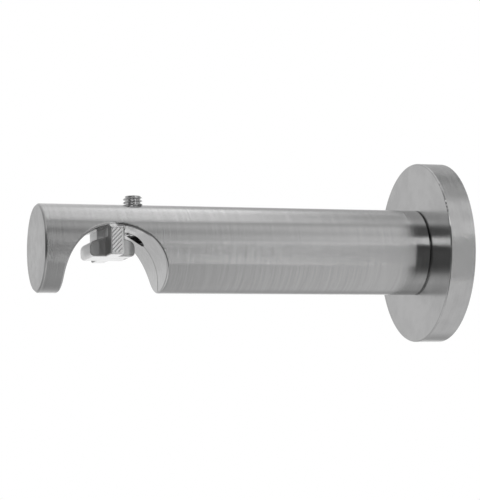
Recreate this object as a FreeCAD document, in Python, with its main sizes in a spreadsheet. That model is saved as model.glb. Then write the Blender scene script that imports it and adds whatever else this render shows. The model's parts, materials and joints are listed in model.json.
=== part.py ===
import FreeCAD, Part
import math
import os

import Sketcher
from FreeCAD import Placement, Rotation, Vector

# Curtain pole bracket with an open seat for a slotted pole, in millimetres.
# The origin is the centre of the rose's wall face. +X points into the wall, so
# the arm runs along -X. +Z is up, and the pole lies along Y in the arm's seat.

# Driving sizes: alias, value, and what the value is
SIZES = (
    ("arm_diameter", 18.0, "outside diameter of the arm"),
    ("end_chamfer", 0.4, "chamfer round the arm's end face"),
    ("shoulder_chamfer", 0.35, "chamfer at the arm's shoulder, against the rose"),
    ("spigot_diameter", 10.0, "spigot on the arm that centres the rose"),
    ("spigot_length", 3.0, "length of the spigot"),
    ("fixing_bore", 5.0, "tapping bore for the M6 wall stud"),
    ("fixing_depth", 18.0, "depth of the full bore from the spigot's end"),
    ("fixing_lead", 0.6, "countersink at the mouth of the bore"),
    ("pole_offset", 73.0, "pole's centre line from the wall"),
    ("nose_length", 14.75, "arm's end face from the pole's centre line"),
    ("seat_width", 20.8, "width of the pole seat at mid width of the arm"),
    ("seat_drop", 6.5, "centre of the seat's arc below the arm's axis"),
    ("seat_draft", 0.8, "draft of the seat's walls from mid width out, in degrees"),
    ("seat_rim", 0.4, "rounding of the seat's rim"),
    ("neck_width", 5.8, "key's neck along the arm"),
    ("neck_depth", 5.8, "key's neck along the pole"),
    ("lip_gap", 1.95, "room for the pole's lip between seat and key head"),
    ("head_width", 9.3, "key's head along the arm"),
    ("head_depth", 8.3, "key's head along the pole"),
    ("head_height", 3.95, "key's head from crown to underside"),
    ("head_crown_rise", 1.2, "rise of the head's crown over its shoulders"),
    ("head_shoulder", 1.4, "rounding of the head's shoulders"),
    ("head_corner", 0.9, "rounding of the head's lower corners"),
    ("head_edge", 0.25, "rounding of the head's front and back outlines"),
    ("bar_width", 2.9, "key's guide bar along the arm"),
    ("bar_length", 16.6, "key's guide bar along the pole"),
    ("bar_relief", 0.5, "drop of the bar's ends below the seat's crown"),
    ("bar_corner", 0.35, "rounding of the bar's lower end edges"),
    ("bar_edge", 0.45, "rounding of the bar's upright end edges"),
    ("key_root", 0.6, "depth by which the key grows out of the seat's crown"),
    ("clamp_offset", 5.5, "clamp screw from the pole's centre line to the wall side"),
    ("clamp_thread", 4.0, "M4 clamp screw over its crests"),
    ("clamp_length", 8.0, "length of the clamp screw"),
    ("clamp_stand", 1.85, "clamp screw proud of the arm's top"),
    ("clamp_clearance", 0.05, "radial running clearance of the clamp screw"),
    ("clamp_chamfer", 0.3, "chamfer at both ends of the clamp screw"),
    ("socket_flats", 2.0, "hex socket across its flats"),
    ("socket_depth", 2.2, "depth of the hex socket"),
    ("cup_diameter", 2.0, "cup point at the clamp screw's tip"),
    ("cup_depth", 0.6, "depth of the cup"),
    ("rose_diameter", 38.0, "outside diameter of the rose"),
    ("rose_thickness", 5.5, "thickness of the rose"),
    ("rose_edge", 0.25, "rounding of the rose's front edge"),
    ("rose_web", 2.2, "rose's front wall"),
    ("rose_rim_wall", 2.2, "rose's outer wall"),
    ("rose_boss", 17.0, "outside diameter of the rose's centre boss"),
    ("rose_fit", 0.15, "radial clearance of the rose on the spigot"),
)

doc = FreeCAD.newDocument("curtain_pole_bracket")
sheet = doc.addObject("Spreadsheet::Sheet", "Sizes")
for row, (alias, value, note) in enumerate(SIZES, 1):
    sheet.set(f"A{row}", note)
    sheet.set(f"B{row}", str(value))
    sheet.setAlias(f"B{row}", alias)
doc.recompute()


def formula(text):
    """Write an expression with the sheet's name before every alias in it."""
    words = []
    for word in text.split():
        known = any(word == alias for alias, _, _ in SIZES)
        words.append(f"Sizes.{word}" if known else word)
    return " ".join(words)


def value_of(text):
    """The number that an expression gives now."""
    return float(sheet.evalExpression(formula(text)))


# Heights and places that several pieces share
CROWN = "seat_width / 2 - seat_drop"
HEAD_TOP = f"( {CROWN} - lip_gap )"
HEAD_BASE = f"( {HEAD_TOP} - head_height )"
CLAMP_X = "( clamp_offset - pole_offset )"
CLAMP_BORE = "( clamp_thread / 2 + clamp_clearance )"
SCREW_TOP = "( arm_diameter / 2 + clamp_stand )"
SHOULDER = "( 0 - rose_thickness )"
ARM_END = "( 0 - pole_offset - nose_length )"
SPIGOT_END = "( spigot_length - rose_thickness )"


def new_body(label):
    body = doc.addObject("PartDesign::Body", label)
    body.Label = label
    return body


def origin_plane(body, role):
    return next(f for f in body.Origin.OriginFeatures if f.Role == role)


def new_sketch(body, name, role):
    sketch = body.newObject("Sketcher::SketchObject", name)
    sketch.AttachmentSupport = [(origin_plane(body, role), "")]
    sketch.MapMode = "FlatFace"
    return sketch


def bind(sketch, kind, *where):
    """Add a dimension whose value is the expression that comes last."""
    *geometry, text = where
    index = sketch.addConstraint(Sketcher.Constraint(kind, *geometry, value_of(text)))
    sketch.setExpression(f"Constraints[{index}]", formula(text))


def place(sketch, geo, point, across, up):
    """Hold a point at two expressions measured from the sketch's origin."""
    bind(sketch, "DistanceX", -1, 1, geo, point, across)
    bind(sketch, "DistanceY", -1, 1, geo, point, up)


def closed_outline(sketch, corners):
    """A closed run of straight lines with every corner held by expressions."""
    spots = [Vector(value_of(across), value_of(up), 0) for across, up in corners]
    count = len(spots)
    for i in range(count):
        sketch.addGeometry(Part.LineSegment(spots[i], spots[(i + 1) % count]), False)
    for i in range(count):
        sketch.addConstraint(Sketcher.Constraint("Coincident", i, 2, (i + 1) % count, 1))
    for i, (across, up) in enumerate(corners):
        place(sketch, i, 1, across, up)
    return sketch


def revolve(body, name, sketch):
    feature = body.newObject("PartDesign::Revolution", name)
    feature.Profile = sketch
    feature.Angle = 360.0
    return feature


def pad_both_ways(body, name, sketch, length):
    feature = body.newObject("PartDesign::Pad", name)
    feature.Profile = sketch
    feature.SideType = "Symmetric"
    feature.setExpression("Length", formula(length))
    return feature


def pocket_through(body, name, sketch):
    feature = body.newObject("PartDesign::Pocket", name)
    feature.Profile = sketch
    feature.SideType = "Symmetric"
    feature.Type = "ThroughAll"
    return feature


def edges_where(feature, wanted):
    """Names of the feature's edges that pass a test of their points."""
    names = []
    for number, edge in enumerate(feature.Shape.Edges, 1):
        if edge.Degenerated:
            continue
        first, last = edge.ParameterRange
        steps = [first + (last - first) * i / 8 for i in range(9)]
        if all(wanted(edge.valueAt(step)) for step in steps):
            names.append(f"Edge{number}")
    return names


def round_edges(body, name, base, wanted, radius):
    names = edges_where(base, wanted)
    if not names:
        raise RuntimeError(f"{name} found no edges")
    feature = body.newObject("PartDesign::Fillet", name)
    feature.Base = (base, names)
    feature.setExpression("Radius", formula(radius))
    doc.recompute()
    return feature


def near(a, b):
    return abs(a - b) < 1e-3


def turned_blank(body):
    """Arm, end chamfer, spigot and stud bore as one turned profile."""
    radius = "arm_diameter / 2"
    spigot = "spigot_diameter / 2"
    bore = "fixing_bore / 2"
    bore_end = f"{SPIGOT_END} - fixing_depth"
    sketch = new_sketch(body, "arm_profile", "XZ_Plane")
    closed_outline(sketch, [
        (ARM_END, "0"),
        (ARM_END, f"{radius} - end_chamfer"),
        (f"{ARM_END} + end_chamfer", radius),
        (f"{SHOULDER} - shoulder_chamfer", radius),
        (SHOULDER, f"{radius} - shoulder_chamfer"),
        (SHOULDER, spigot),
        (SPIGOT_END, spigot),
        (SPIGOT_END, f"{bore} + fixing_lead"),
        (f"{SPIGOT_END} - fixing_lead", bore),
        (bore_end, bore),
        (f"{bore_end} - {bore}", "0"),
    ])
    feature = revolve(body, "arm_blank", sketch)
    feature.ReferenceAxis = (sketch, ["H_Axis"])
    return feature


def pole_seat(body):
    """Open seat: a round crown over upright walls, drafted from mid width out."""
    reach = "arm_diameter"
    middle = "0 - pole_offset"
    narrow = "seat_width / 2"
    wide = f"( {narrow} + {reach} * tan( seat_draft ) )"
    sketch = new_sketch(body, "seat_crown_profile", "YZ_Plane")
    sketch.AttachmentOffset = Placement(
        Vector(0, 0, -value_of("pole_offset")), Rotation())
    sketch.setExpression("AttachmentOffset.Base.z", formula(middle))
    closed_outline(sketch, [
        (f"0 - {reach}", "0 - seat_drop"),
        (reach, "0 - seat_drop"),
        (reach, f"{wide} - seat_drop"),
        ("0", f"{narrow} - seat_drop"),
        (f"0 - {reach}", f"{wide} - seat_drop"),
    ])
    axis = sketch.addGeometry(Part.LineSegment(
        Vector(0, -value_of("seat_drop"), 0), Vector(1, -value_of("seat_drop"), 0)), True)
    place(sketch, axis, 1, "0", "0 - seat_drop")
    place(sketch, axis, 2, "1", "0 - seat_drop")
    crown = body.newObject("PartDesign::Groove", "seat_crown")
    crown.Profile = sketch
    crown.Angle = 360.0
    crown.ReferenceAxis = (sketch, ["Axis0"])
    plan = new_sketch(body, "seat_walls_profile", "XY_Plane")
    plan.AttachmentOffset = Placement(Vector(0, 0, -value_of("seat_drop")), Rotation())
    plan.setExpression("AttachmentOffset.Base.z", formula("0 - seat_drop"))
    closed_outline(plan, [
        (f"{middle} - {wide}", f"0 - {reach}"),
        (f"{middle} + {wide}", f"0 - {reach}"),
        (f"{middle} + {narrow}", "0"),
        (f"{middle} + {wide}", reach),
        (f"{middle} - {wide}", reach),
        (f"{middle} - {narrow}", "0"),
    ])
    walls = body.newObject("PartDesign::Pocket", "seat_walls")
    walls.Profile = plan
    walls.setExpression("Length", formula("arm_diameter"))
    return walls


def seat_rim(body, seat):
    """Round the rim where the seat runs out through the arm's surface."""
    radius = value_of("arm_diameter / 2")
    draft = math.tan(math.radians(value_of("seat_draft")))
    reach = value_of("seat_width / 2") + radius * draft
    middle = -value_of("pole_offset")

    def on_rim(p):
        on_skin = abs(math.hypot(p.y, p.z) - radius) < 1e-3
        return on_skin and abs(p.x - middle) < reach + 1e-3

    return round_edges(body, "seat_rim", seat, on_rim, "seat_rim")


def clamp_bore(body):
    """Tapped bore for the clamp screw, from the arm's top into the seat."""
    sketch = new_sketch(body, "clamp_bore_profile", "XY_Plane")
    centre = Vector(value_of(CLAMP_X), 0, 0)
    circle = sketch.addGeometry(
        Part.Circle(centre, Vector(0, 0, 1), value_of(CLAMP_BORE)), False)
    place(sketch, circle, 3, CLAMP_X, "0")
    bind(sketch, "Radius", circle, CLAMP_BORE)
    return pocket_through(body, "clamp_bore", sketch)


def key_neck(body):
    """Neck that carries the key's head below the seat's crown."""
    sketch = new_sketch(body, "neck_profile", "XZ_Plane")
    left = "0 - pole_offset - neck_width / 2"
    right = "0 - pole_offset + neck_width / 2"
    low = f"{HEAD_TOP} - head_crown_rise"
    high = f"{CROWN} + key_root"
    closed_outline(sketch, [(left, low), (right, low), (right, high), (left, high)])
    return pad_both_ways(body, "key_neck", sketch, "neck_depth")


def key_head(body):
    """Head that hooks under the lips of the pole's slot, crowned on top."""
    half = "head_width / 2"
    arc_radius = f"( ( {half} ) ^ 2 + head_crown_rise ^ 2 ) / ( 2 * head_crown_rise )"
    middle = -value_of("pole_offset")
    reach = value_of(half)
    base = value_of(HEAD_BASE)
    shoulder = value_of(f"{HEAD_TOP} - head_crown_rise")
    radius = value_of(arc_radius)
    centre = value_of(f"{HEAD_TOP} - {arc_radius}")
    start = math.atan2(shoulder - centre, reach)
    sketch = new_sketch(body, "head_profile", "XZ_Plane")
    circle = Part.Circle(Vector(middle, centre, 0), Vector(0, 0, 1), radius)
    arc = sketch.addGeometry(Part.ArcOfCircle(circle, start, math.pi - start), False)
    corners = [
        Vector(middle - reach, shoulder, 0),
        Vector(middle - reach, base, 0),
        Vector(middle + reach, base, 0),
        Vector(middle + reach, shoulder, 0),
    ]
    left, under, right = [
        sketch.addGeometry(Part.LineSegment(a, b), False)
        for a, b in zip(corners, corners[1:])
    ]
    joints = ((arc, 2, left, 1), (left, 2, under, 1), (under, 2, right, 1), (right, 2, arc, 1))
    for pair in joints:
        sketch.addConstraint(Sketcher.Constraint("Coincident", *pair))
    sketch.addConstraint(Sketcher.Constraint("Vertical", left))
    sketch.addConstraint(Sketcher.Constraint("Vertical", right))
    sketch.addConstraint(Sketcher.Constraint("Horizontal", under))
    place(sketch, under, 1, f"0 - pole_offset - {half}", HEAD_BASE)
    bind(sketch, "DistanceX", -1, 1, under, 2, f"0 - pole_offset + {half}")
    place(sketch, arc, 3, "0 - pole_offset", f"{HEAD_TOP} - {arc_radius}")
    bind(sketch, "Radius", arc, arc_radius)
    return pad_both_ways(body, "key_head", sketch, "head_depth")


def round_head(body, head):
    """Soften the head's shoulders and lower corners along the pole."""
    middle = -value_of("pole_offset")
    reach = value_of("head_width / 2")
    base = value_of(HEAD_BASE)
    shoulder = value_of(f"{HEAD_TOP} - head_crown_rise")

    def at_side(p, height):
        return near(abs(p.x - middle), reach) and near(p.z, height)

    shoulders = round_edges(
        body, "head_shoulders", head, lambda p: at_side(p, shoulder), "head_shoulder")
    corners = round_edges(
        body, "head_corners", shoulders, lambda p: at_side(p, base), "head_corner")
    face = value_of("head_depth / 2")
    return round_edges(
        body, "head_outline", corners, lambda p: near(abs(p.y), face), "head_edge")


def key_bar(body):
    """Guide bar along the pole's slot, drawn from the side of the arm."""
    half = "bar_length / 2"
    crown_top = f"{CROWN} + key_root"
    end_top = f"{CROWN} - bar_relief"
    inset = f"{half} - key_root - bar_relief / 2"
    sketch = new_sketch(body, "bar_profile", "YZ_Plane")
    sketch.AttachmentOffset = Placement(
        Vector(0, 0, -value_of("pole_offset")), Rotation())
    sketch.setExpression("AttachmentOffset.Base.z", formula("0 - pole_offset"))
    closed_outline(sketch, [
        (f"0 - {half}", HEAD_BASE),
        (half, HEAD_BASE),
        (half, end_top),
        (inset, crown_top),
        (f"0 - ( {inset} )", crown_top),
        (f"0 - {half}", end_top),
    ])
    return pad_both_ways(body, "key_bar", sketch, "bar_width")


def round_bar(body, bar):
    """Soften the bar's upright end edges and its two lower end edges."""
    middle = -value_of("pole_offset")
    half = value_of("bar_width / 2")
    reach = value_of("bar_length / 2")
    base = value_of(HEAD_BASE)

    def upright(p):
        return near(abs(p.x - middle), half) and near(abs(p.y), reach)

    def lower_end(p):
        return near(abs(p.y), reach) and near(p.z, base)

    sides = round_edges(body, "bar_edges", bar, upright, "bar_edge")
    return round_edges(body, "bar_corners", sides, lower_end, "bar_corner")


def make_arm():
    """Cast arm: turned body, pole seat and the key that grows from its crown."""
    body = new_body("arm")
    turned_blank(body)
    seat = pole_seat(body)
    doc.recompute()
    seat_rim(body, seat)
    clamp_bore(body)
    key_neck(body)
    head = key_head(body)
    doc.recompute()
    round_head(body, head)
    bar = key_bar(body)
    doc.recompute()
    round_bar(body, bar)
    return body


def make_rose():
    """Wall rose: a shallow cup with a centre boss that the arm bears on."""
    body = new_body("wall_rose")
    outer = "rose_diameter / 2"
    front = SHOULDER
    recess = "( 0 - rose_thickness + rose_web )"
    bore = "( spigot_diameter / 2 + rose_fit )"
    sketch = new_sketch(body, "rose_profile", "XZ_Plane")
    closed_outline(sketch, [
        (front, bore),
        (front, outer),
        ("0", outer),
        ("0", f"{outer} - rose_rim_wall"),
        (recess, f"{outer} - rose_rim_wall"),
        (recess, "rose_boss / 2"),
        ("0", "rose_boss / 2"),
        ("0", bore),
    ])
    blank = revolve(body, "rose_blank", sketch)
    blank.ReferenceAxis = (sketch, ["H_Axis"])
    doc.recompute()
    face = value_of(front)
    radius = value_of(outer)
    round_edges(
        body, "rose_front_edge", blank,
        lambda p: near(p.x, face) and near(math.hypot(p.y, p.z), radius), "rose_edge")
    return body


def make_clamp_screw():
    """M4 set screw with a hex socket above and a cup point below."""
    body = new_body("clamp_screw")
    radius = "clamp_thread / 2"
    tip = f"{SCREW_TOP} - clamp_length"
    sketch = new_sketch(body, "screw_profile", "XZ_Plane")
    closed_outline(sketch, [
        (CLAMP_X, f"{tip} + cup_depth"),
        (f"{CLAMP_X} + cup_diameter / 2", tip),
        (f"{CLAMP_X} + {radius} - clamp_chamfer", tip),
        (f"{CLAMP_X} + {radius}", f"{tip} + clamp_chamfer"),
        (f"{CLAMP_X} + {radius}", f"{SCREW_TOP} - clamp_chamfer"),
        (f"{CLAMP_X} + {radius} - clamp_chamfer", SCREW_TOP),
        (CLAMP_X, SCREW_TOP),
    ])
    axis = sketch.addGeometry(Part.LineSegment(
        Vector(value_of(CLAMP_X), 0, 0), Vector(value_of(CLAMP_X), 1, 0)), True)
    place(sketch, axis, 1, CLAMP_X, "0")
    place(sketch, axis, 2, CLAMP_X, "1")
    blank = revolve(body, "screw_blank", sketch)
    blank.ReferenceAxis = (sketch, ["Axis0"])
    socket = new_sketch(body, "socket_profile", "XY_Plane")
    socket.AttachmentOffset = Placement(Vector(0, 0, value_of(SCREW_TOP)), Rotation())
    socket.setExpression("AttachmentOffset.Base.z", formula(SCREW_TOP))
    corner = "socket_flats / sqrt(3)"
    closed_outline(socket, [
        (f"{CLAMP_X} + {corner} * {math.cos(math.radians(a)):.9f}",
         f"{corner} * {math.sin(math.radians(a)):.9f}")
        for a in range(0, 360, 60)
    ])
    pocket = body.newObject("PartDesign::Pocket", "hex_socket")
    pocket.Profile = socket
    pocket.setExpression("Length", formula("socket_depth"))
    return body


bodies = [make_arm(), make_rose(), make_clamp_screw()]
doc.recompute()

for item in doc.Objects:
    if {"Invalid", "Error"} & set(item.State):
        raise RuntimeError(f"{item.Name} did not compute: {item.State}")
for body in bodies:
    if body.Shape.isNull() or not body.Shape.isValid() or len(body.Shape.Solids) != 1:
        raise RuntimeError(f"{body.Label} is not one sound solid")

os.makedirs("parts", exist_ok=True)
for body in bodies:
    body.Shape.exportStep(f"parts/{body.Label}.step")
    box = body.Shape.BoundBox
    print(f"{body.Label}: {body.Shape.Volume:.1f} mm3,",
          f"x {box.XMin:.2f} to {box.XMax:.2f}, y {box.YMin:.2f} to {box.YMax:.2f},",
          f"z {box.ZMin:.2f} to {box.ZMax:.2f}")
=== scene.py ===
import json
import math
from types import SimpleNamespace

import bmesh
import bpy
from mathutils import Matrix, Vector


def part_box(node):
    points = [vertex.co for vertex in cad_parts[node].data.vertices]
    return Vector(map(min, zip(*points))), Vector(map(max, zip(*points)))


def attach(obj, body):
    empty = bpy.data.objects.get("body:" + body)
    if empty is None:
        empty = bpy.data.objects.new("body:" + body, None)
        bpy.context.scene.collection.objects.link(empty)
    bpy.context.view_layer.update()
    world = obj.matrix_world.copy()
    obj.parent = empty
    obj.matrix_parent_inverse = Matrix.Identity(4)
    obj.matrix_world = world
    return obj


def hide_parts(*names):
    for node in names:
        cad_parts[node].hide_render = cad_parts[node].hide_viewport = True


# Curtain pole bracket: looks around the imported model. Metres, origin at the
# centre of the rose's wall face, +X into the wall, +Z up, the pole along Y.

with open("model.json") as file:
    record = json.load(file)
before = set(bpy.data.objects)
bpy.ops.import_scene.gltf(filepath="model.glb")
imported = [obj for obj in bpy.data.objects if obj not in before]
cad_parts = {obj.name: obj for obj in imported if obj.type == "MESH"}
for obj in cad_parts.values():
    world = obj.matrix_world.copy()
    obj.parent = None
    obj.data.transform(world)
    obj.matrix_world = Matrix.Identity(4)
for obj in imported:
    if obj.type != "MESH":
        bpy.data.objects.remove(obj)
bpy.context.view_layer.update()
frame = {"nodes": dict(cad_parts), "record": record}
MM = 0.001

# Places that the frame gives
arm_low, arm_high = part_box("arm")
ARM_RADIUS = arm_high.z
END_FACE_X = arm_low.x
screw_low, screw_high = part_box("clamp_screw")
SCREW_X = (screw_low.x + screw_high.x) / 2
pole_seat = next(mount for mount in frame["record"]["mounts"] if mount["name"] == "pole_seat")
POLE_X = pole_seat["pos_m"][0]
SEAT_DROP = -pole_seat["pos_m"][2]
SEAT_RADIUS = pole_seat["dims"]["r_mm"] * MM

# Sizes that repeat the solids' own; heights count from the arm's axis, and
# the head's front and the bar's side and end from the key's middle
CROWN = SEAT_RADIUS - SEAT_DROP
LIP_GAP = 1.95 * MM
HEAD_HEIGHT = 3.95 * MM
HEAD_TOP = CROWN - LIP_GAP
HEAD_BASE = HEAD_TOP - HEAD_HEIGHT
HEAD_FRONT = 4.15 * MM
BAR_RELIEF = 0.5 * MM
BAR_TOP = CROWN - BAR_RELIEF
BAR_SIDE = 1.45 * MM
BAR_END = 8.3 * MM
BAR_EDGE = 0.45 * MM
BORE_RADIUS = 2.05 * MM
THREAD_PITCH = 0.7 * MM
THREAD_DEPTH = 0.613 * THREAD_PITCH
SCREW_COLUMNS = 48

# The stage
ARM_MIDDLE_X = -45.0 * MM
FLOOR_Z = -0.30
FLOOR_RADIUS = 2.2


def grey(value):
    return (value, value, value, 1.0)


class Nodes:
    """Short hand for building the node tree of a material or a world."""

    def __init__(self, owner, output):
        owner.use_nodes = True
        self.owner = owner
        self.tree = owner.node_tree
        self.tree.nodes.clear()
        self.output = self.tree.nodes.new(output)

    def node(self, kind, **settings):
        made = self.tree.nodes.new(kind)
        for key, value in settings.items():
            setattr(made, key, value)
        return made

    def link(self, source, target):
        self.tree.links.new(source, target)

    def feed(self, target, value):
        if isinstance(value, bpy.types.NodeSocket):
            self.link(value, target)
        else:
            target.default_value = value

    def math(self, operation, *values):
        made = self.node("ShaderNodeMath", operation=operation)
        for socket, value in zip(made.inputs, values):
            self.feed(socket, value)
        return made.outputs[0]

    def axes(self, vector):
        made = self.node("ShaderNodeSeparateXYZ")
        self.link(vector, made.inputs[0])
        return made.outputs

    def between(self, value, low, high, to_low=0.0, to_high=1.0):
        """Smooth step from one value to another, falling where low is above high."""
        made = self.node("ShaderNodeMapRange")
        made.interpolation_type = "SMOOTHSTEP"
        made.clamp = True
        self.feed(made.inputs["Value"], value)
        for key, number in (("From Min", low), ("From Max", high),
                            ("To Min", to_low), ("To Max", to_high)):
            made.inputs[key].default_value = number
        return made.outputs["Result"]

    def window(self, value, low, high, soft_low, soft_high):
        """One between low and high, with edges as soft as given."""
        return self.all_of(self.between(value, low - soft_low, low + soft_low),
                           self.between(value, high + soft_high, high - soft_high))

    def all_of(self, mask, *others):
        """One only where every mask is one."""
        for other in others:
            mask = self.math("MULTIPLY", mask, other)
        return mask

    def blend(self, factor, a, b):
        made = self.node("ShaderNodeMixShader")
        self.link(factor, made.inputs[0])
        self.link(a, made.inputs[1])
        self.link(b, made.inputs[2])
        return made.outputs[0]

    def done(self, surface):
        self.link(surface, self.output.inputs["Surface"])
        return self.owner


class Shader(Nodes):
    """Short hand for building one material."""

    # Nearly all of a noise lies between these
    NOISE_LOW, NOISE_HIGH = 0.3, 0.7

    def __init__(self, name):
        super().__init__(bpy.data.materials.new(name), "ShaderNodeOutputMaterial")

    def vector(self, operation, *values):
        made = self.node("ShaderNodeVectorMath", operation=operation)
        for socket, value in zip(made.inputs, values):
            self.feed(socket, value)
        return made.outputs["Value" if operation == "LENGTH" else "Vector"]

    def place(self):
        """Point on the piece in the frame's own coordinates."""
        return self.node("ShaderNodeTexCoord").outputs["Object"]

    def off_axis(self, place):
        """Distance from the arm's axis."""
        return self.vector("LENGTH", self.vector("MULTIPLY", place, (0.0, 1.0, 1.0)))

    def round_axis(self, y, z):
        """Angle round the arm's axis, zero in front."""
        return self.math("ARCTAN2", z, self.math("MULTIPLY", y, -1.0))

    def join(self, x, y, z):
        made = self.node("ShaderNodeCombineXYZ")
        for socket, value in zip(made.inputs, (x, y, z)):
            self.feed(socket, value)
        return made.outputs[0]

    def noise(self, vector, scale, detail=2.0, roughness=0.5):
        made = self.node("ShaderNodeTexNoise")
        self.link(vector, made.inputs["Vector"])
        made.inputs["Scale"].default_value = scale
        made.inputs["Detail"].default_value = detail
        made.inputs["Roughness"].default_value = roughness
        return made.outputs["Fac"]

    def turned_lines(self, along, around, scale):
        """Fine lines round the axis: quick change along it, slow change round it."""
        vector = self.join(
            self.math("MULTIPLY", along, scale), self.math("MULTIPLY", around, 0.55), 0.0)
        return self.noise(vector, 1.0, detail=2.0, roughness=0.62)

    def spread(self, noise, low, high):
        """A number that follows a noise from low to high."""
        return self.between(noise, self.NOISE_LOW, self.NOISE_HIGH, low, high)

    def mix_colour(self, factor, a, b):
        made = self.node("ShaderNodeMix", data_type="RGBA")
        self.feed(made.inputs["Factor"], factor)
        colours = [s for s in made.inputs if s.type == "RGBA"]
        self.feed(colours[0], a)
        self.feed(colours[1], b)
        return next(s for s in made.outputs if s.type == "RGBA")

    def greys(self, noise, low, high):
        """A grey that follows a noise from low to high."""
        return self.mix_colour(self.spread(noise, 0.0, 1.0), grey(low), grey(high))

    def bump(self, height, distance):
        made = self.node("ShaderNodeBump")
        made.inputs["Distance"].default_value = distance
        self.link(height, made.inputs["Height"])
        return made.outputs["Normal"]

    def metal(self, colour, roughness, normal, anisotropic=0.0):
        """Bare metal; an anisotropic one blurs what it mirrors along the arm's axis."""
        made = self.node("ShaderNodeBsdfPrincipled")
        made.inputs["Metallic"].default_value = 1.0
        made.inputs["Anisotropic"].default_value = anisotropic
        self.feed(made.inputs["Base Color"], colour)
        self.feed(made.inputs["Roughness"], roughness)
        self.link(normal, made.inputs["Normal"])
        if anisotropic:
            made.inputs["Anisotropic Rotation"].default_value = 0.25
            tangent = self.node("ShaderNodeTangent", direction_type="RADIAL", axis="X")
            self.link(tangent.outputs[0], made.inputs["Tangent"])
        return made.outputs[0]


def brushed_skin(s):
    """Outside of the arm: fine lines left by brushing while it turned."""
    x, y, z = s.axes(s.place())
    around = s.round_axis(y, z)
    fine = s.turned_lines(x, around, 5000.0)
    broad = s.turned_lines(x, around, 2500.0)
    lines = s.math("ADD", s.math("MULTIPLY", fine, 0.45), s.math("MULTIPLY", broad, 0.4))
    colour = s.mix_colour(s.between(broad, 0.35, 0.65), grey(0.442), grey(0.464))
    return s.metal(
        colour, s.spread(fine, 0.185, 0.245), s.bump(lines, 1.0e-5), anisotropic=0.7)


def casting_places(s):
    """Where on the casting a point lies, measured in several ways."""
    place = s.place()
    x, y, z = s.axes(place)
    off_pole = s.math("SUBTRACT", x, POLE_X)
    over_pole = s.math("ADD", z, SEAT_DROP)
    return SimpleNamespace(
        place=place, x=x, y=y, z=z, off_pole=off_pole,
        from_pole=s.vector("LENGTH", s.join(off_pole, 0.0, over_pole)),
        from_axis=s.off_axis(place),
        from_middle=s.math("ABSOLUTE", y))


def key_areas(s, at):
    """The key where it hangs clear of the seat's wall, and the parts of its surface."""
    clear = s.between(at.from_pole, SEAT_RADIUS - 0.15 * MM, SEAT_RADIUS - 0.35 * MM)
    sides = s.all_of(clear, s.between(at.z, HEAD_BASE + 0.01 * MM, HEAD_BASE + 0.10 * MM))
    underside = s.math("SUBTRACT", clear, sides)
    # The head's front and back, which get a painted shade
    head_face = s.all_of(
        sides,
        s.between(at.from_middle, HEAD_FRONT - 0.15 * MM, HEAD_FRONT - 0.05 * MM),
        s.between(at.z, HEAD_TOP - 0.05 * MM, HEAD_TOP - 0.25 * MM))
    # A highlight is painted on the head's front and back beside the bar
    head_highlight = s.all_of(
        head_face,
        s.between(at.off_pole, 1.0 * MM, 1.2 * MM),
        s.between(at.off_pole, 4.0 * MM, 3.1 * MM))
    # The bar's room side near its ends, which gets a painted shade, and the ends themselves,
    # which get a painted highlight
    bar_side = s.all_of(
        sides,
        s.between(at.from_middle, BAR_END - 2.0 * MM, BAR_END - 1.8 * MM),
        s.between(at.off_pole, -0.7 * MM, -0.9 * MM))
    bar_end = s.all_of(
        s.between(at.from_middle, BAR_END - 0.18 * MM, BAR_END - 0.02 * MM),
        s.between(s.math("ABSOLUTE", at.off_pole), BAR_SIDE + 0.15 * MM, BAR_SIDE + 0.05 * MM))
    return SimpleNamespace(
        sides=sides, underside=underside, head_face=head_face, head_highlight=head_highlight,
        bar_side=bar_side, bar_end=bar_end)


def seat_areas(s, at):
    """The seat's crown inside its rim, where a highlight is painted, and a strip on the rim's
    upper wall side, where shade is painted.
    """
    # Painted highlight: the crown inside the rim is painted lighter
    crown = s.all_of(
        s.between(at.from_pole, SEAT_RADIUS + 0.8 * MM, SEAT_RADIUS + 0.4 * MM),
        s.between(at.z, CROWN - 1.9 * MM, CROWN - 0.9 * MM),
        s.between(at.from_axis, ARM_RADIUS - 0.3 * MM, ARM_RADIUS - 0.8 * MM))
    # Painted shade: a dark strip along the rim's upper wall side
    rim_shade = s.all_of(
        s.between(at.from_axis, ARM_RADIUS - 0.75 * MM, ARM_RADIUS - 0.55 * MM),
        s.between(at.z, CROWN - 2.7 * MM, CROWN - 1.5 * MM),
        s.between(at.off_pole, -0.3 * MM, 0.3 * MM))
    return crown, rim_shade


def tapped_bore(s, at):
    """The clamp screw's bore, and the height of the thread that is cut in it."""
    off_screw = s.math("SUBTRACT", at.x, SCREW_X)
    from_screw = s.vector("LENGTH", s.join(off_screw, at.y, 0.0))
    tapped = s.between(from_screw, BORE_RADIUS + 0.11 * MM, BORE_RADIUS + 0.02 * MM)
    turns = s.math("DIVIDE", s.math("ARCTAN2", at.y, off_screw), 2 * math.pi)
    pitches = s.math("DIVIDE", at.z, THREAD_PITCH)
    share = s.math("FRACT", s.math("SUBTRACT", pitches, turns))
    flank = s.math("ABSOLUTE", s.math("SUBTRACT", share, 0.5))
    return tapped, s.math("MULTIPLY", flank, tapped)


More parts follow.
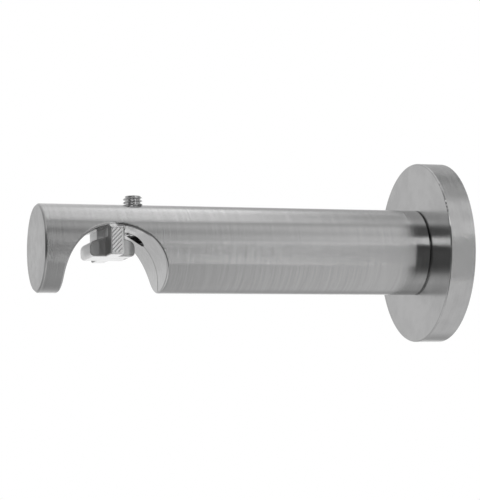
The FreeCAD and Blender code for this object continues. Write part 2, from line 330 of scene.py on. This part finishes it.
def cast_skin(s):
    """Satin casting in the seat, on the key and on the end face, with painted highlights and
    painted shade on parts of it.
    """
    at = casting_places(s)
    key = key_areas(s, at)
    crown, rim_shade = seat_areas(s, at)
    tapped, thread = tapped_bore(s, at)
    end_face = s.between(at.x, END_FACE_X + 0.45 * MM, END_FACE_X + 0.15 * MM)
    # Painted shade: the end face is painted darker than the casting, darkest towards its rim
    end_face_shade = s.mix_colour(
        s.between(at.from_axis, 2.0 * MM, ARM_RADIUS), grey(0.345), grey(0.305))
    grain = s.noise(at.place, 5200.0, detail=3.0, roughness=0.6)
    cloud = s.noise(at.place, 420.0)
    colour = s.greys(cloud, 0.475, 0.535)
    for area, tone in (
            # Painted highlight on the seat's crown
            (crown, grey(0.75)),
            # Painted reflection: the key's underside is painted lighter, standing in for the
            # white it mirrors
            (key.underside, grey(0.66)),
            # Painted light: the key's sides are painted far lighter than the casting, standing
            # in for reflections the studio lacks
            (key.sides, grey(0.92)),
            # Painted shade on the head's front and back
            (key.head_face, grey(0.37)),
            # Painted highlight, a light strip on the head beside the bar
            (key.head_highlight, grey(0.72)),
            # Painted shade on the bar's room side near its ends
            (key.bar_side, grey(0.34)),
            # Painted shade on the end face
            (end_face, end_face_shade),
            # Painted highlight on the bar's ends
            (key.bar_end, grey(0.95)),
            # Painted shade along the rim's upper wall side, kept off the bar's ends
            (s.all_of(rim_shade, s.math("SUBTRACT", 1.0, key.bar_end)), grey(0.15)),
            # Painted shade: the bore's wall is painted near black
            (tapped, grey(0.11))):
        colour = s.mix_colour(area, colour, tone)
    # The key's sides are duller and coarser than the seat, its underside is smoother
    dull = s.math("ADD", s.spread(cloud, 0.19, 0.26), s.math("MULTIPLY", key.sides, 0.20))
    dull = s.math("SUBTRACT", dull, s.math("MULTIPLY", key.underside, 0.10))
    coarse = s.math("ADD", s.math("MULTIPLY", key.sides, 0.06), 0.02)
    relief = s.math("ADD", s.math("MULTIPLY", grain, coarse), thread)
    return s.metal(colour, dull, s.bump(relief, 3.5e-4))


def arm_metal():
    """Brushed outside, cast everywhere that lies deeper than the arm's skin."""
    s = Shader("brushed_nickel_arm")
    skin = s.between(s.off_axis(s.place()), ARM_RADIUS - 0.14 * MM, ARM_RADIUS - 0.07 * MM)
    return s.done(s.blend(skin, cast_skin(s), brushed_skin(s)))


def serrated_metal():
    """Ridges with a painted highlight and valleys with a painted shade, for the guide bar's
    ends.
    """
    s = Shader("nickel_serration_painted_light")
    place = s.place()
    cloud = s.noise(place, 2400.0, detail=3.0, roughness=0.6)
    out = s.math("ABSOLUTE", s.axes(place)[1])
    crest = s.between(out, BAR_END + 0.01 * MM, BAR_END + 0.11 * MM)
    # Painted highlight on the crests, painted shade in the valleys
    colour = s.mix_colour(crest, grey(0.42), s.greys(cloud, 0.90, 0.97))
    return s.done(s.metal(colour, s.spread(cloud, 0.44, 0.54), s.bump(cloud, 1.5e-5)))


def rose_metal():
    """Satin turned metal: faint rings on the face and round the rim."""
    s = Shader("satin_nickel_rose")
    place = s.place()
    x, y, z = s.axes(place)
    along = s.math("ADD", s.off_axis(place), x)
    fine = s.turned_lines(along, s.round_axis(y, z), 3400.0)
    colour = s.greys(s.noise(place, 260.0), 0.425, 0.465)
    return s.done(s.metal(
        colour, s.spread(fine, 0.19, 0.24), s.bump(fine, 1.2e-5), anisotropic=0.5))


def screw_metal():
    """Plain bright steel with a slight cloud."""
    s = Shader("screw_steel")
    place = s.place()
    cloud = s.noise(place, 900.0, detail=3.0)
    grain = s.noise(place, 9000.0)
    return s.done(s.metal(
        s.greys(cloud, 0.60, 0.76), s.spread(cloud, 0.16, 0.26), s.bump(grain, 4e-6)))


def mesh_object(name, vertices, faces, material, smooth_angle=None):
    """Object from points and faces, welded, with its normals set one way."""
    mesh = bpy.data.meshes.new(name)
    mesh.from_pydata(vertices, [], faces)
    work = bmesh.new()
    work.from_mesh(mesh)
    bmesh.ops.remove_doubles(work, verts=work.verts, dist=1e-7)
    bmesh.ops.dissolve_degenerate(work, dist=1e-8, edges=work.edges)
    bmesh.ops.recalc_face_normals(work, faces=work.faces)
    work.to_mesh(mesh)
    work.free()
    mesh.materials.append(material)
    made = bpy.data.objects.new(name, mesh)
    bpy.context.scene.collection.objects.link(made)
    if smooth_angle is not None:
        mesh.shade_smooth()
        mesh.set_sharp_from_angle(angle=math.radians(smooth_angle))
    return made


def grid_faces(rows, columns):
    """Faces between neighbouring rows of points."""
    return [
        (i * columns + j, i * columns + j + 1, (i + 1) * columns + j + 1, (i + 1) * columns + j)
        for i in range(rows - 1) for j in range(columns - 1)]


def screw_ring(point_at):
    """Points once round the screw, from the radius and height at each column's angle."""
    ring = []
    for j in range(SCREW_COLUMNS + 1):
        a = 2 * math.pi * j / SCREW_COLUMNS
        radius, z = point_at(j, a)
        ring.append((radius * math.cos(a), radius * math.sin(a), z))
    return ring


def thread_rings(tip, top, crest):
    """Rings that climb as the helical thread does, held between the screw's two ends."""
    root = crest - THREAD_DEPTH
    end_radius = root + 0.04 * MM

    def helix(start, radius):
        def point_at(j, _):
            z = min(max(tip + THREAD_PITCH * (start + j / SCREW_COLUMNS), tip), top)
            # Both ends are chamfered at 45 degrees
            return min(radius, end_radius + min(z - tip, top - z)), z
        return point_at

    # The thread's outline over one pitch: share of the pitch, radius
    outline = ((0.0, crest), (0.125, crest), (0.4375, root), (0.6875, root))
    turns = int((top - tip) / THREAD_PITCH) + 3
    return [
        screw_ring(helix(turn + share, radius))
        for turn in range(-2, turns) for share, radius in outline]


def threaded_screw(material):
    """M4 set screw with a helical thread, hex socket and cup point."""
    middle = (screw_low + screw_high) / 2
    top, tip = screw_high.z, screw_low.z
    socket_flats = 2.0 * MM
    socket_mouth = 1.12 * socket_flats
    socket_lead = 0.12 * MM
    socket_depth = 2.2 * MM
    socket_point = 0.35 * MM
    cup_radius = 1.0 * MM
    cup_depth = 0.6 * MM

    def flat_ring(radius, z):
        return screw_ring(lambda j, a: (radius, z))

    def hexagon(flats, z):
        sector = math.pi / 3
        return screw_ring(lambda j, a: (flats / 2 / math.cos(a % sector - sector / 2), z))

    rings = [
        flat_ring(0.0, tip + cup_depth),
        flat_ring(cup_radius, tip),
        *thread_rings(tip, top, (screw_high.x - screw_low.x) / 2),
        hexagon(socket_mouth, top),
        hexagon(socket_flats, top - socket_lead),
        hexagon(socket_flats, top - socket_depth),
        flat_ring(0.0, top - socket_depth - socket_point),
    ]
    vertices = [
        (middle.x + px, middle.y + py, pz) for ring in rings for px, py, pz in ring]
    faces = grid_faces(len(rings), SCREW_COLUMNS + 1)
    return mesh_object("clamp_screw_threaded", vertices, faces, material, 30)


def serrated_end(name, side, material):
    """Slanting serrations on one end of the key's guide bar."""
    left, right = 0.25 * MM - BAR_SIDE, BAR_SIDE - 0.5 * MM
    z_low, z_high = HEAD_BASE + 0.4 * MM, BAR_TOP - 0.04 * MM
    flat = BAR_SIDE - BAR_EDGE
    spacing = 0.58 * MM
    height = 0.15 * MM
    steepness = 1.25
    sunk = 0.02 * MM
    slant = math.radians(46)
    across, up = 42, 88
    fading_steps = 2
    vertices = []
    for i in range(up + 1):
        for j in range(across + 1):
            x = left + (right - left) * j / across
            z = z_low + (z_high - z_low) * i / up
            past = max(abs(x) - flat, 0.0)
            base = BAR_END - BAR_EDGE + math.sqrt(BAR_EDGE ** 2 - past ** 2)
            step = ((x * math.sin(slant) - z * math.cos(slant)) / spacing) % 1
            ridge = 1 - abs(2 * step - 1)
            # The patch's outline sinks into the bar, and its ridges fade towards it
            rim = min(j, across - j, i, up - i)
            rise = height * min(ridge * steepness, 1.0) * min(rim / fading_steps, 1)
            if rim == 0:
                rise = -sunk
            vertices.append((POLE_X + x, side * (base + rise), z))
    return mesh_object(name, vertices, grid_faces(up + 1, across + 1), material, 25)


def seat_path(start, stop, side):
    """Points and inward normals along the seat's arc, in degrees, and down one wall."""
    path = []
    steps = 36
    short_of_rim = 0.4 * MM
    for i in range(steps + 1):
        a = math.radians(start + (stop - start) * i / steps)
        spot = (POLE_X + SEAT_RADIUS * math.cos(a), -SEAT_DROP + SEAT_RADIUS * math.sin(a))
        path.append((spot, (-math.cos(a), -math.sin(a))))
    path.append(((POLE_X + side * SEAT_RADIUS, -ARM_RADIUS + short_of_rim), (-side, 0.0)))
    return path


def seat_line(name, path, material):
    """Parting line left by the die: a low ridge along the seat at mid width."""
    half, rise, sink = 0.07 * MM, 0.035 * MM, 0.02 * MM
    profile = ((-half, -sink), (-half * 0.5, rise), (half * 0.5, rise), (half, -sink))
    vertices = []
    for (x, z), (nx, nz) in path:
        for across, out in profile:
            vertices.append((x + nx * out, across, z + nz * out))
    return mesh_object(name, vertices, grid_faces(len(path), len(profile)), material, 40)


def studio_world():
    """Grey studio that the metal mirrors, white to the camera."""
    world = bpy.data.worlds.new("studio")
    bpy.context.scene.world = world
    s = Nodes(world, "ShaderNodeOutputWorld")
    x, y, z = s.axes(s.node("ShaderNodeTexCoord").outputs["Generated"])
    # Degrees round the arm's axis: 0 straight ahead, 90 overhead, 180 behind
    turn = s.math("MULTIPLY", s.math("ARCTAN2", z, s.math("MULTIPLY", y, -1.0)), 180 / math.pi)
    share = s.math("ADD", s.math("DIVIDE", turn, 360), 0.5)

    def round_room(levels):
        """How light the room is, from degrees round the arm and levels there."""
        ramp = s.node("ShaderNodeValToRGB")
        s.link(share, ramp.inputs[0])
        stops = ramp.color_ramp.elements
        while len(stops) < len(levels):
            stops.new(0.5)
        for stop, (angle, level) in zip(stops, levels):
            stop.position = angle / 360 + 0.5
            stop.color = grey(level)
        return ramp.outputs["Color"]

    def background(strength):
        made = s.node("ShaderNodeBackground")
        made.inputs["Color"].default_value = grey(1.0)
        s.feed(made.inputs["Strength"], strength)
        return made.outputs[0]

    def towards(a, b, factor):
        return s.math("ADD", a, s.math("MULTIPLY", s.math("SUBTRACT", b, a), factor))

    # The room beyond the arm's free end, in front of it, and on the wall's side
    far_side = round_room((
        (-180, 0.80), (-145, 0.60), (-125, 1.05), (-108, 1.15), (-92, 1.40), (-72, 1.05),
        (-58, 0.36), (-44, 0.20), (-5, 0.24), (12, 0.12), (42, 0.26), (68, 0.18),
        (84, 1.40), (100, 1.00), (142, 0.85)))
    open_side = round_room((
        (-180, 0.85), (-145, 0.62), (-122, 0.34), (-44, 0.27), (-34, 0.25), (-24, 0.24),
        (-15, 0.03), (6, 0.03), (22, 0.09), (42, 0.06), (56, 0.47), (72, 0.48),
        (86, 0.80), (120, 0.92), (142, 0.85)))
    wall_side = round_room((
        (-180, 0.62), (-150, 0.48), (-128, 0.84), (-95, 0.92), (-45, 0.96), (-39, 0.42),
        (12, 0.39), (21, 1.06), (31, 1.10), (42, 0.94), (60, 1.00), (76, 0.56),
        (102, 0.33), (125, 0.54), (180, 0.62)))
    level = towards(open_side, far_side, s.between(x, 0.0, -0.2))
    level = towards(level, wall_side, s.between(x, 0.245, 0.285))

    # Two soft panels where the wall's side begins: one overhead, one in front
    overhead = s.all_of(s.window(turn, 74, 128, 5, 10), s.window(x, 0.262, 0.319, 0.02, 0.014))
    in_front = s.all_of(s.window(turn, -42, 18, 3, 4), s.window(x, 0.3, 0.342, 0.024, 0.028))
    for panel, strength in ((overhead, 2.0), (in_front, 3.6)):
        level = s.math("ADD", level, s.math("MULTIPLY", panel, strength))
    # The room's two far ends are a little darker
    ends = s.math("MAXIMUM", s.between(x, -0.45, -0.65), s.between(x, 0.5, 0.8))
    level = s.math("MULTIPLY", level, s.math("SUBTRACT", 1.0, s.math("MULTIPLY", ends, 0.3)))

    # The metal mirrors the white backdrop only where it stands, behind the object
    path = s.node("ShaderNodeLightPath").outputs
    behind = s.all_of(
        s.between(s.math("ABSOLUTE", turn), 160, 172), s.between(x, 0.0, 0.2))
    clear = s.math("MAXIMUM", path["Is Camera Ray"], path["Is Transmission Ray"])
    clear = s.math("MAXIMUM", clear, s.all_of(path["Is Glossy Ray"], behind))
    s.done(s.blend(clear, background(level), background(1.0)))


def soft_box(name, direction, distance, width, height, level):
    """Lamp that faces the arm's middle and is as bright as a wall of that level."""
    data = bpy.data.lights.new(name, "AREA")
    data.shape = "RECTANGLE"
    data.size, data.size_y = width, height
    data.energy = level * math.pi * width * height
    lamp = bpy.data.objects.new(name, data)
    lamp.visible_camera = False
    bpy.context.scene.collection.objects.link(lamp)
    away = Vector(direction).normalized()
    lamp.location = Vector((ARM_MIDDLE_X, 0, 0)) + away * distance
    lamp.rotation_mode = "QUATERNION"
    lamp.rotation_quaternion = away.to_track_quat("Z", "Y")


def pale_floor():
    """Round white floor under the object."""
    corners = 64
    vertices = [(0, 0, 0)]
    for i in range(corners):
        a = 2 * math.pi * i / corners
        vertices.append((FLOOR_RADIUS * math.cos(a), FLOOR_RADIUS * math.sin(a), 0))
    faces = [(0, 1 + i, 1 + (i + 1) % corners) for i in range(corners)]
    s = Shader("pale_floor")
    diffuse = s.node("ShaderNodeBsdfDiffuse")
    cloud = s.noise(s.place(), 3.0)
    s.feed(diffuse.inputs["Color"], s.mix_colour(cloud, grey(0.93), grey(0.96)))
    floor = mesh_object("studio_floor", vertices, faces, s.done(diffuse.outputs[0]))
    floor.location = (ARM_MIDDLE_X, 0.0, FLOOR_Z)
    # The metal mirrors the room's own lower half; the floor takes the shadow
    floor.visible_glossy = False


def photograph_camera():
    """Camera fitted to the outlines of the arm and rose, principal point centred."""
    yaw, pitch, roll = math.radians(18.408), math.radians(6.617), math.radians(-1.456)
    place = Vector((-170.352, -377.595, -46.02)) * MM
    focal_pixels, long_side_pixels = 1932.69, 500
    ahead = Vector((math.sin(yaw) * math.cos(pitch), math.cos(yaw) * math.cos(pitch),
                    math.sin(pitch)))
    right = Vector((math.cos(yaw), -math.sin(yaw), 0))
    up = right.cross(ahead)
    turned_right = math.cos(roll) * right + math.sin(roll) * up
    turned_up = math.cos(roll) * up - math.sin(roll) * right
    data = bpy.data.cameras.new("camera")
    data.sensor_width = 36.0
    data.lens = focal_pixels * data.sensor_width / long_side_pixels
    data.clip_start, data.clip_end = 0.01, 50.0
    camera = bpy.data.objects.new("camera", data)
    bpy.context.scene.collection.objects.link(camera)
    matrix = Matrix((turned_right, turned_up, -ahead)).transposed().to_4x4()
    matrix.translation = place
    camera.matrix_world = matrix
    bpy.context.scene.camera = camera


arm_material = arm_metal()
rose_material = rose_metal()
screw_material = screw_metal()
serration_material = serrated_metal()

for node, material in (("arm", arm_material), ("wall_rose", rose_material)):
    slots = frame["nodes"][node].data.materials
    slots.clear()
    slots.append(material)

screw = threaded_screw(screw_material)
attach(screw, "screw")
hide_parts("clamp_screw")

for name, side in (("bar_serration_front", -1), ("bar_serration_back", 1)):
    piece = serrated_end(name, side, serration_material)
    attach(piece, "bracket")

for name, path in (
        ("seat_line_wall_side", seat_path(start=42, stop=0, side=1)),
        ("seat_line_room_side", seat_path(start=112, stop=180, side=-1))):
    piece = seat_line(name, path, arm_material)
    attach(piece, "bracket")

studio_world()
soft_box("strip_light", direction=(-0.32, -0.85, 0.41), distance=1.4,
         width=0.8, height=0.46, level=2.4)
pale_floor()
photograph_camera()
bpy.context.scene.view_settings.view_transform = "Standard"
